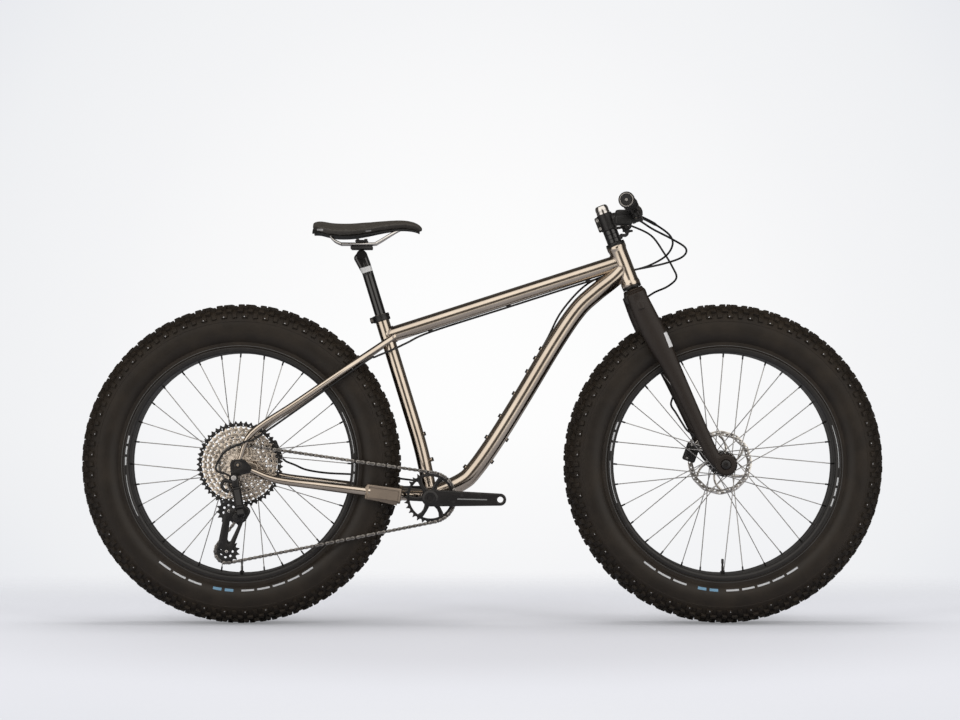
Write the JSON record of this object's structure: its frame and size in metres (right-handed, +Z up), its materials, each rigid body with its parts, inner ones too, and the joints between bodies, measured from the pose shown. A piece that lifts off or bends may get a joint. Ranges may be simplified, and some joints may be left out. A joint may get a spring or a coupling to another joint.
{
  "type": "fat tire bike",
  "caption": "Rigid fat tire bike with a bare metal frame, flat bar, disc brakes, single chainring, wide-range cassette, rear derailleur and knobbly tyres; no pedals fitted.",
  "frame": {"origin": "on the floor under the middle of the bike, halfway between the two axles", "axes": "+X forward, the way the bike rides; +Y to the rider's left; +Z up"},
  "size_m": [1.9688, 0.7888, 1.0337],
  "materials": {
    "titanium": "brushed bare metal",
    "black_metal": "black anodised",
    "carbon": "dark satin fibre",
    "silver": "satin",
    "steel": "brushed",
    "tyre": "matt rubber",
    "grip": "ribbed rubber",
    "black_plastic": "matt",
    "cover": "fine-grained cover"
  },
  "bodies": {
    "frame": {"frame": "titanium", "derailleur_hanger": "black_metal", "seat_collar": "black_metal", "bb_cup_right": "black_metal", "bb_cup_left": "black_metal", "headset_upper_cup": "black_metal", "headset_lower_cup": "black_metal", "rear_thru_axle": "black_metal", "rear_brake_caliper": "black_metal", "rear_brake_hose": "black_plastic", "shift_housing": "black_plastic", "chain": "steel", "derailleur_b_knuckle": "black_metal"},
    "seat_post": {"seatpost": "carbon"},
    "saddle_clamp": {"saddle_clamp_lower": "black_metal", "saddle_clamp_upper": "black_metal"},
    "saddle": {"saddle_rails": "silver", "saddle_shell": "black_plastic", "saddle_pad": "cover"},
    "steering": {"fork": "carbon", "steerer_spacers": "black_metal", "stem": "black_metal", "stem_faceplate": "black_metal", "stem_top_cap": "silver", "handlebar": "black_metal", "grip_right": "grip", "grip_left": "grip", "brake_lever_body_right": "black_metal", "brake_lever_body_left": "black_metal", "shifter_body": "black_plastic", "front_brake_caliper": "black_metal", "front_brake_hose": "black_plastic", "front_thru_axle": "black_metal"},
    "brake_blade_right": {"brake_lever_right": "black_metal"},
    "brake_blade_left": {"brake_lever_left": "black_metal"},
    "thumb_lever": {"shifter_thumb_lever": "black_plastic"},
    "release_lever": {"shifter_release_lever": "black_plastic"},
    "front_wheel": {"front_tyre": "tyre", "front_rim": "black_metal", "front_spokes_right": "steel", "front_spokes_left": "steel", "front_hub_shell": "black_metal", "front_rotor": "steel"},
    "rear_wheel": {"rear_tyre": "tyre", "rear_rim": "black_metal", "rear_spokes_right": "steel", "rear_spokes_left": "steel", "rear_hub_shell": "black_metal", "rear_rotor": "steel"},
    "cassette": {"cassette": "silver", "cassette_big_cog": "black_metal"},
    "crankset": {"crank_arm_right": "black_metal", "crank_arm_left": "black_metal", "chainring": "black_metal"},
    "outer_link": {"derailleur_outer_link": "black_metal"},
    "inner_link": {"derailleur_inner_link": "black_metal"},
    "lower_knuckle": {"derailleur_p_knuckle": "black_metal"},
    "cage": {"derailleur_cage": "black_metal"},
    "guide_pulley": {"guide_pulley": "black_plastic"},
    "tension_pulley": {"tension_pulley": "black_plastic"}
  },
  "joints": [
    {"name": "steering", "type": "hinge", "parent": "frame", "child": "steering", "pos_m": [0.54445, 0, 0.37456], "axis": [-0.3616, 0, 0.9323], "range_deg": [-80, 80], "deforming": ["rear_brake_hose", "shift_housing"]},
    {"name": "seat_height", "type": "slide", "parent": "frame", "child": "seat_post", "axis": [-0.2924, 0, 0.9563], "range_m": [-0.05, 0.07]},
    {"name": "saddle_tilt", "type": "hinge", "parent": "seat_post", "child": "saddle_clamp", "pos_m": [-0.29672, 0, 0.90656], "axis": [0, 1, 0], "range_deg": [-5, 5]},
    {"name": "saddle_slide", "type": "slide", "parent": "saddle_clamp", "child": "saddle", "axis": [1, 0, 0], "range_m": [-0.01, 0.012]},
    {"name": "brake_lever_right", "type": "hinge", "parent": "steering", "child": "brake_blade_right", "pos_m": [0.37286, -0.25727, 0.97881], "axis": [-0.8246, 0.103, -0.5562], "range_deg": [0, 12], "stiffness_Nm_per_rad": 0.4, "springref_deg": -11.46},
    {"name": "brake_lever_left", "type": "hinge", "parent": "steering", "child": "brake_blade_left", "pos_m": [0.37286, 0.25727, 0.97881], "axis": [0.8246, 0.103, 0.5562], "range_deg": [0, 12], "stiffness_Nm_per_rad": 0.4, "springref_deg": -11.46},
    {"name": "thumb_lever", "type": "hinge", "parent": "steering", "child": "thumb_lever", "pos_m": [0.3397, -0.204, 0.96633], "axis": [0, 0, 1], "range_deg": [0, 20], "stiffness_Nm_per_rad": 0.05, "springref_deg": -11.46},
    {"name": "release_lever", "type": "hinge", "parent": "steering", "child": "release_lever", "pos_m": [0.3397, -0.204, 0.9585], "axis": [0, 0, -1], "range_deg": [0, 8], "stiffness_Nm_per_rad": 0.05, "springref_deg": -11.46},
    {"name": "front_wheel_spin", "type": "hinge", "parent": "steering", "child": "front_wheel", "pos_m": [0.592, 0, 0.393], "axis": [0, 1, 0], "continuous": true},
    {"name": "rear_wheel_spin", "type": "hinge", "parent": "frame", "child": "rear_wheel", "pos_m": [-0.592, 0, 0.393], "axis": [0, 1, 0], "continuous": true},
    {"name": "crank_spin", "type": "hinge", "parent": "frame", "child": "crankset", "pos_m": [-0.126, 0, 0.313], "axis": [0, 1, 0], "continuous": true, "deforming": ["chain"]},
    {"name": "cassette_spin", "type": "hinge", "parent": "frame", "child": "cassette", "pos_m": [-0.592, 0, 0.393], "axis": [0, 1, 0], "continuous": true},
    {"name": "shift_travel", "type": "hinge", "parent": "frame", "child": "outer_link", "pos_m": [-0.594, -0.1214, 0.3366], "axis": [0.9797, 0.0874, 0.1804], "range_deg": [-34, 22]},
    {"name": "inner_link_turn", "type": "hinge", "parent": "frame", "child": "inner_link", "pos_m": [-0.594, -0.1106, 0.3314], "axis": [0.9797, 0.0874, 0.1804], "range_deg": [-34, 22]},
    {"name": "lower_knuckle_turn", "type": "hinge", "parent": "outer_link", "child": "lower_knuckle", "pos_m": [-0.584, -0.1427, 0.2926], "axis": [0.9797, 0.0874, 0.1804], "range_deg": [-22, 34]},
    {"name": "cage_turn", "type": "hinge", "parent": "lower_knuckle", "child": "cage", "pos_m": [-0.59, -0.0735, 0.268], "axis": [0, -1, 0], "range_deg": [-68, 44]},
    {"name": "guide_pulley_spin", "type": "hinge", "parent": "cage", "child": "guide_pulley", "pos_m": [-0.616, -0.0735, 0.28], "axis": [0, 1, 0], "continuous": true},
    {"name": "tension_pulley_spin", "type": "hinge", "parent": "cage", "child": "tension_pulley", "pos_m": [-0.622, -0.0735, 0.1815], "axis": [0, 1, 0], "continuous": true}
  ],
  "couplings": [
    {"joint": "cassette_spin", "follows": "crank_spin", "ratio": 1.25},
    {"joint": "guide_pulley_spin", "follows": "crank_spin", "ratio": -2.1429},
    {"joint": "tension_pulley_spin", "follows": "crank_spin", "ratio": 2.1429},
    {"joint": "inner_link_turn", "follows": "shift_travel", "ratio": 1},
    {"joint": "lower_knuckle_turn", "follows": "shift_travel", "ratio": -1},
    {"joint": "cage_turn", "follows": "shift_travel", "ratio": 2}
  ]
}
